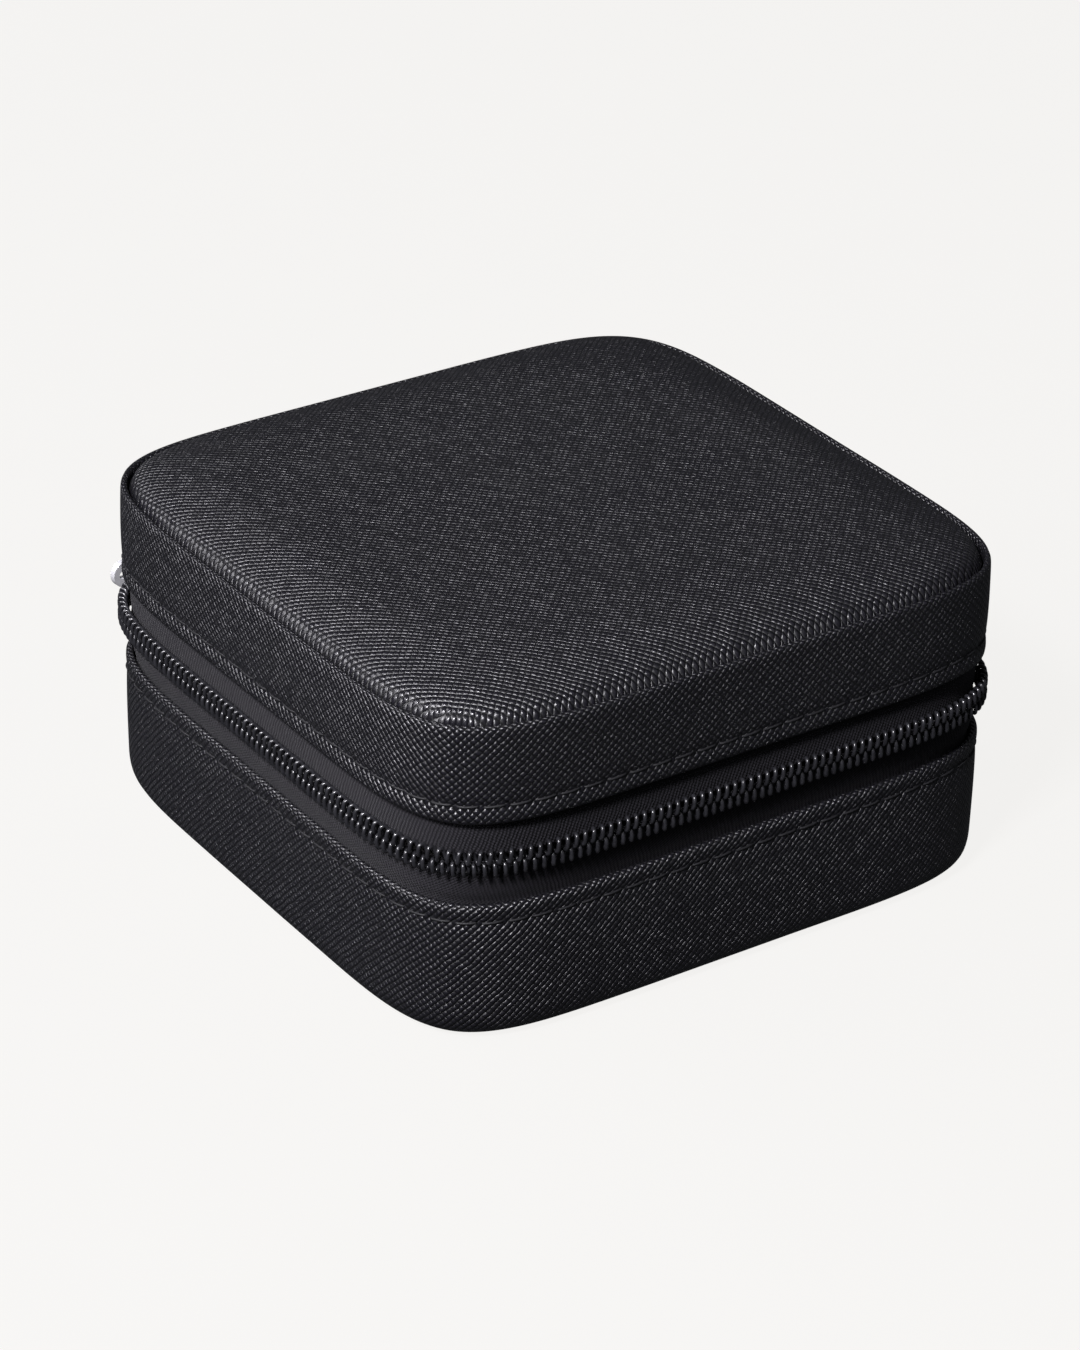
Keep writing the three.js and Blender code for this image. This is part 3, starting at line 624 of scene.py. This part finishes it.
piece(zip_tape("tape_lower_cloth", BASE_EDGE_Z, -1, BASE_IN + LEATHER + 0.3), "base", "zip_tape",
      "zip_tape_lower")
piece(zip_tape("tape_upper_cloth", LID_EDGE_Z, 1, LEATHER + 0.3), "lid", "zip_tape", "zip_tape_upper")
piece(zip_coil("coil_lower_wire", -1, 0.5), "base", "nylon", "zip_coil_lower")
upper_coil = zip_coil("coil_upper_wire", 1, 0.0)
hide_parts("zip_coil_upper")
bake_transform(upper_coil)

# ---- Spine ----

hinge = next(joint for joint in frame["joints"] if joint["name"] == "lid_hinge")
HINGE_Z = hinge["pos_m"][2] / MM
SPINE_IN = HALF_DEPTH - high("spine_lower").y


def spine_strip():
    """The leather strip across the back that the lid hinges on, creased where it folds."""
    foot, top = low("spine_lower").z, high("spine_upper").z
    outer, inner, crease = SPINE_IN, SPINE_IN + LEATHER, HINGE_Z
    outline = soften([
        (outer, foot), (outer, BASE_EDGE_Z), (outer - 0.5, crease - 3), (outer - 0.3, crease),
        (outer - 0.5, crease + 3), (outer, LID_EDGE_Z - 0.3), (outer, top), (inner, top),
        (inner, crease), (inner, foot),
    ], 0.5, closed=True)
    return sweep("spine_strip_leather", outline, leather, span=(-SPINE_HALF, SPINE_HALF))


spine = spine_strip()
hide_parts("spine_lower", "spine_upper")
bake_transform(spine)

# ---- Linings ----

LINING_OUT = HALF_WIDTH - high("lid_lining_panel").x - 1.1
LINING_IN = HALF_WIDTH - high("lid_lining_panel").x - 0.3
RIM_OUT = HALF_WIDTH - high("lid_lining_wall").x


def wall_lining(name, node, rim, inward):
    """Velvet down the inside of a wall, turned over its rim. inward is the way from the rim, in z."""
    far = low(node).z if inward < 0 else high(node).z
    fold = 0.85 * inward
    profile = soften([
        (LINING_OUT, far), (LINING_OUT, rim + fold), (RIM_OUT + 0.1, rim + fold),
        (RIM_OUT, rim + 0.2 * inward), (RIM_OUT + 0.5, rim - 0.05 * inward),
        (LINING_IN - 0.4, rim - 0.05 * inward), (LINING_IN + 0.02, rim + 0.5 * inward),
        (LINING_IN - 0.1, (rim + far) / 2), (LINING_IN, far),
    ], 0.8, closed=True)
    return sweep(name, profile, velvet, step=1.6)


def flat_lining(name, node, puff, inward):
    """A velvet-covered panel across the inside, a little crowned on the side that shows."""
    inset = HALF_WIDTH - high(node).x
    back, face = (low(node).z, high(node).z) if inward > 0 else (high(node).z, low(node).z)
    insets = [inset, inset, inset + 0.3, inset + 1, inset + 2.5, inset + 5, inset + 9, 24, 34, 44]
    swell = [0, 0, 0.25, 0.5, 0.75, 0.9, 1, 1, 1, 1]
    heights = [back, face - 0.3 * inward] + [face + inward * (puff * x - 0.15) for x in swell[2:]]
    return rings_mesh(name, insets, heights, velvet, 3.0)


piece(wall_lining("base_wall_velvet", "base_lining_wall", high("base_lining_wall").z, -1), "base",
      "velvet", "base_lining_wall")
piece(wall_lining("lid_wall_velvet", "lid_lining_wall", low("lid_lining_wall").z, 1), "lid",
      "velvet", "lid_lining_wall")
piece(flat_lining("base_floor_velvet", "base_lining_floor", 0.2, 1), "base", "velvet",
      "base_lining_floor")
piece(flat_lining("lid_ceiling_velvet", "lid_lining_panel", 0.2, -1), "lid", "velvet",
      "lid_lining_panel")

# ---- Soft fittings in the base ----


def cavity_x(y):
    """Half the width of the room inside the linings at a given y."""
    s = np.linspace(0, PERIMETER / 2, 400)
    outline = place(s, LINING_IN + 0.3, 0.0)
    quarter = outline[outline[:, 1] <= 0]
    order = np.argsort(-quarter[:, 1])
    return np.interp(np.abs(y), -quarter[order, 1], -quarter[order, 0])


def ring_roll(node, number):
    """A stuffed velvet roll: flat below, round above, with soft ends and a slightly uneven skin."""
    lo, hi = low(node), high(node)
    middle, half = (lo.y + hi.y) / 2, (hi.y - lo.y) / 2
    tall = hi.z - lo.z - half
    angle = np.linspace(0, math.pi, 15)
    section = [(half * math.cos(a), tall + half * math.sin(a)) for a in angle]
    section = soften([(half - 0.7, 0.05), *section, (0.7 - half, 0.05)], 1.1, 1, closed=True)
    near, far = [0, 0.12, 0.5, 1.2, 2.2, 4], [38.5, 40.5, 41.4, 41.9, 42.1]
    along = np.array([*near, *np.linspace(7, 36, 11), *far])
    along = along / along[-1]
    rng = np.random.default_rng(number)
    wave = rng.uniform(0, TAU, 3)
    points = []
    for y, z in section:
        start = max(lo.x, -float(cavity_x(middle + y)))
        x = start + (hi.x - start) * along
        near_end = np.minimum(along, 1 - along) * (hi.x - lo.x)
        tuck = 1 - 0.13 * np.exp(-near_end / 0.6)
        swell = 0.10 * np.sin(x / 5 + wave[0]) + 0.06 * np.sin(x / 2.3 + wave[1] + y)
        reach = np.hypot(y, max(z - tall, 0))
        out = tuck * (1 + swell / max(reach, 3) * (z > 1))
        points.append(np.stack([x, middle + y * out, lo.z + z * out], -1))
    points = np.array(points)
    uv = np.stack(np.meshgrid(np.arange(points.shape[1]), np.arange(len(points) + 1)), -1)
    return grid(f"ring_roll_{number}_velvet", points, uv.astype(float), velvet, wrap_rows=True)


for number in range(1, 8):
    node = f"ring_roll_{number}"
    roll = piece(ring_roll(node, number), "base", "velvet", node)


def soft_slab(name, node, material, edge, puff):
    """A covered board: a box with rounded edges and faces that swell slightly."""
    lo, hi = low(node), high(node)
    middle, half = (lo + hi) / 2, (hi - lo) / 2
    form = bmesh.new()
    bmesh.ops.create_cube(form, size=2)
    bmesh.ops.subdivide_edges(form, edges=form.edges, cuts=13, use_grid_fill=True)
    points = np.array([v.co for v in form.verts])
    faces = [[v.index for v in face.verts] for face in form.faces]
    form.free()
    size = np.array(half)
    bunched = np.sign(points) * np.sin(np.abs(points) * math.pi / 2) ** 0.6
    inner = np.clip(bunched * size, -(size - edge), size - edge)
    over = bunched * size - inner
    length = np.linalg.norm(over, axis=1, keepdims=True)
    rounded = inner + over / np.maximum(length, 1e-9) * np.minimum(length, edge)
    thin = int(np.argmin(size))
    fade = np.cos(np.clip(rounded / size, -1, 1) * math.pi / 2)
    spread = np.prod(np.delete(fade, thin, 1), axis=1)
    rounded[:, thin] += np.sign(rounded[:, thin]) * puff * np.sqrt(np.clip(spread, 0, 1))
    flat = [i for i in range(3) if i != thin]
    corner_uv = np.concatenate([rounded[face][:, flat] for face in faces])
    return make(name, rounded + np.array(middle), faces, material, corner_uv)


for name, node, body, edge, puff in (
    ("partition_velvet", "base_partition", "base", 0.7, 0.15),
    ("divider_front_velvet", "divider_1", "divider_front", 0.6, 0.12),
    ("divider_back_velvet", "divider_2", "divider_back", 0.6, 0.12),
):
    piece(soft_slab(name, node, velvet, edge, puff), body, "velvet", node)

# ---- Pocket, straps and snaps in the lid ----


def pocket_depth(x, y):
    """How far the pocket stands off the lid's lining."""
    half = high("lid_pocket").x
    deep = high("lid_pocket").z - low("lid_pocket").z - 0.8
    across = 1 - np.abs(x / half) ** 6
    along = np.minimum(1, (high("lid_pocket").y - y) / 10)
    return deep * across * np.sin(along * math.pi / 2)


def pocket_ripple(x, fullness):
    """Gathers across the mouth, not quite even."""
    return fullness * (0.6 * np.sin(x * 2.4 + np.sin(x * 0.9)) + 0.4 * np.sin(x * 4.1 + 1.3))


def pocket_cloth():
    """The gathered pocket and its flat size: the cloth's area over its length, and its length."""
    x = np.linspace(-1, 1, 181) * high("lid_pocket").x
    y = np.linspace(low("lid_pocket").y, high("lid_pocket").y, 40)
    gx, gy = np.meshgrid(x, y)
    toward_foot = (gy - y[0]) / (y[-1] - y[0])
    fade = (1 - toward_foot) ** 1.3 * (1 - np.abs(gx / x[-1]) ** 8)
    z = high("lid_pocket").z - pocket_depth(gx, gy) - 0.4 + pocket_ripple(gx, 0.55) * fade
    points = np.stack([gx, gy, z], -1)
    cloth = grid("pocket_satin", points, np.stack([gx, gy], -1), satin)
    area = sum(p.area for p in cloth.data.polygons)
    length = (y[-1] - y[0]) * MM
    thick = cloth.modifiers.new("thickness", "SOLIDIFY")
    thick.thickness = 0.35 * MM
    thick.offset = 0
    return cloth, (area / length, length)


def pocket_elastic():
    """The ruched band that draws the pocket's mouth in."""
    node = "lid_pocket_elastic"
    x = np.linspace(-0.985, 0.985, 361) * high(node).x
    half = (high(node).y - low(node).y) / 2
    angle = np.arange(12) * TAU / 12
    gx = np.broadcast_to(x, (12, len(x)))
    ruche = 1 + 0.22 * np.sin(gx * TAU / 1.15 + 0.8 * np.sin(gx * 0.7))
    y = (high(node).y + low(node).y) / 2 + half * np.cos(angle)[:, None] * (0.9 + 0.08 * ruche)
    middle_z = high(node).z - 0.9 - pocket_depth(gx, low("lid_pocket").y)
    z = middle_z + 0.7 * np.sin(angle)[:, None] * ruche
    uv = np.stack(np.meshgrid(x, np.arange(13) * 0.45), -1)
    return grid("pocket_elastic_satin", np.stack([gx, y, z], -1), uv, satin, wrap_rows=True)


def strap(node, number):
    """A flat leather strap with rounded edges and a round tip, sewn down at its root."""
    lo, hi = low(node), high(node)
    middle, half, thick = (lo.x + hi.x) / 2, (hi.x - lo.x) / 2, 1.0
    drop = hi.z - lo.z - thick
    route = soften([(lo.y, 0), (lo.y + 0.6, 0.15), (lo.y + 3, drop), (hi.y, drop)], 0.6, 2)
    path = np.stack([np.zeros(len(route)), route[:, 0], hi.z - thick / 2 - route[:, 1]], -1)
    tangent = np.gradient(path, axis=0)
    tangent /= np.linalg.norm(tangent, axis=1, keepdims=True)
    up = np.cross(tangent, [1, 0, 0])
    to_tip = np.clip((hi.y - route[:, 0]) / half, 0, 1)
    width = half * np.sqrt(np.clip(1 - (1 - to_tip) ** 2, 0.02, 1))
    section = soften([(1, -0.5), (1, 0.5), (-1, 0.5), (-1, -0.5)], 0.12, 2, closed=True)
    sideways = section[:, 0][:, None, None] * width[None, :, None] * np.array([1, 0, 0])
    points = path[None] + sideways + section[:, 1][:, None, None] * thick * up[None]
    points[..., 0] += middle
    across = np.append(section[:, 0], section[0, 0])[:, None] * half
    uv = np.stack(np.broadcast_arrays(across, route[None, :, 0]), -1)
    return grid(f"necklace_strap_{number}_leather", points, uv, leather, wrap_rows=True)


pocket, pocket_size = pocket_cloth()
piece(pocket, "lid", "satin", "lid_pocket")
piece(pocket_elastic(), "lid", "satin", "lid_pocket_elastic")
for number in (1, 2, 3):
    node = f"necklace_strap_{number}"
    piece(strap(node, number), "lid", "leather", node)

# ---- Underside ----


def bottom_cover():
    """The leather panel let into the underside."""
    node = "base_bottom_cover"
    inset = HALF_WIDTH - high(node).x
    insets = [inset, inset, inset + 0.3, inset + 1.5, 16, 24, 34, 44]
    heights = [high(node).z, 0.35, 0.08, 0.0, 0.0, 0.0, 0.0, 0.0]
    return rings_mesh("bottom_panel_leather", insets, heights, leather, 2.0)


piece(bottom_cover(), "base", "leather", "base_bottom_cover")

# ---- CAD nodes that stay, with finer edges and a finish ----

def finish_node(node, material, bevel_mm=0.0):
    obj = frame["nodes"][node]
    obj.data.materials.clear()
    obj.data.materials.append(material)
    if bevel_mm:
        bevel = obj.modifiers.new("edges", "BEVEL")
        bevel.width = bevel_mm * MM
        bevel.segments = 3
        bevel.limit_method = "ANGLE"
        bevel.angle_limit = math.radians(35)


# ---- Camera, floor and light ----

LENS_MM = 117.67
SENSOR_MM = 36.0
CAMERA_AZIMUTH = math.radians(-34.634)
CAMERA_ELEVATION = math.radians(29.024)
CAMERA_ROLL = math.radians(1.369)
CAMERA_DISTANCE = 641.84
TARGET_RIGHT, TARGET_UP, TARGET_Z = -0.97, -1.390, 24.822


def add_camera():
    a, e, r = CAMERA_AZIMUTH, CAMERA_ELEVATION, CAMERA_ROLL
    back = Vector((math.sin(a) * math.cos(e), -math.cos(a) * math.cos(e), math.sin(e)))
    right = Vector((math.cos(a), math.sin(a), 0))
    up = back.cross(right)
    target = Vector((0, 0, TARGET_Z)) + right * TARGET_RIGHT + up * TARGET_UP
    turned_right = right * math.cos(r) + up * math.sin(r)
    turned_up = up * math.cos(r) - right * math.sin(r)
    data = bpy.data.cameras.new("camera")
    data.lens = LENS_MM
    data.sensor_width = SENSOR_MM
    data.clip_start = 0.01
    camera = bpy.data.objects.new("camera", data)
    bpy.context.collection.objects.link(camera)
    place = Matrix((turned_right, turned_up, back)).transposed().to_4x4()
    place.translation = (target + back * CAMERA_DISTANCE) * MM
    camera.matrix_world = place
    bpy.context.scene.camera = camera


def area_light(name, direction, distance, size, watts, colour=(1, 1, 1)):
    """A soft square light that looks at the case from a direction."""
    data = bpy.data.lights.new(name, "AREA")
    data.shape = "RECTANGLE"
    data.size, data.size_y = size
    data.energy = watts
    data.color = colour
    light = bpy.data.objects.new(name, data)
    bpy.context.collection.objects.link(light)
    towards = Vector(direction).normalized()
    light.location = Vector((0, 0, 0.03)) + towards * distance
    light.rotation_euler = towards.to_track_quat("Z", "Y").to_euler()
    light.visible_camera = False
    return light


PAPER = (0.880, 0.871, 0.856)


def backdrop_material():
    """Pale paper that glows evenly, with a trace of grain."""
    m = Shader("backdrop", PAPER, 1.0, Specular_IOR_Level=0.0)
    place = m.node("ShaderNodeTexCoord")["Object"]
    grain = m.noise(place, 40, 3.0)
    tint = m.colours(grain, (0.3, tuple(c * 0.997 for c in PAPER)), (0.7, PAPER))
    m.main.inputs["Base Color"].default_value = (0.02, 0.02, 0.02, 1)
    m.main.inputs["Emission Strength"].default_value = 1.0
    return m.use(Emission_Color=tint)


def add_stage():
    """A pale floor and a pale shell round it. Only the camera sees their glow."""
    paper = backdrop_material()
    reach = 4000
    corners = [(-reach, -reach, 0), (reach, -reach, 0), (reach, reach, 0), (-reach, reach, 0)]
    floor = make("floor", corners, [[0, 1, 2, 3]], paper)
    shell_mesh = bpy.data.meshes.new("backdrop")
    shell = bpy.data.objects.new("backdrop", shell_mesh)
    bpy.context.collection.objects.link(shell)
    form = bmesh.new()
    bmesh.ops.create_icosphere(form, subdivisions=4, radius=reach * MM)
    form.to_mesh(shell_mesh)
    form.free()
    shell_mesh.shade_smooth()
    shell_mesh.materials.append(paper)
    for stage in (floor, shell):
        stage.visible_diffuse = False
        stage.visible_glossy = False
        stage.visible_shadow = False
        stage.visible_transmission = False


def add_light():
    """A dim even sky, a long strip that rakes the left, a small corner light and a weak fill."""
    world = bpy.data.worlds.new("studio")
    world.use_nodes = True
    bpy.context.scene.world = world
    sky = world.node_tree.nodes["Background"]
    sky.inputs["Color"].default_value = (0.9, 0.93, 1.0, 1)
    sky.inputs["Strength"].default_value = 0.055
    cool = (0.965, 0.95, 1.0)
    area_light("strip_left", (-0.72, 0.28, 0.53), 0.75, (1.5, 0.10), 9.5, cool)
    area_light("corner_left", (-0.58, -0.34, 0.68), 0.9, (0.15, 0.15), 18.0, cool)
    area_light("fill_right", (0.5, -0.55, 0.66), 1.0, (0.4, 0.4), 0.4, cool)


add_camera()
add_stage()
add_light()
scene = bpy.context.scene
scene.view_settings.view_transform = "Standard"
scene.view_settings.look = "None"

for node, obj in frame["nodes"].items():
    if obj.hide_render:
        continue
    if node.startswith(("zip_slider", "zip_pull", "zip_stop", "strap_snap")):
        finish_node(node, chrome, 0.15)
    elif "board" in node:
        finish_node(node, board, 0.1)
    elif "foam" in node or "padding" in node:
        finish_node(node, foam, 0.1)
    else:
        finish_node(node, velvet, 0.2)
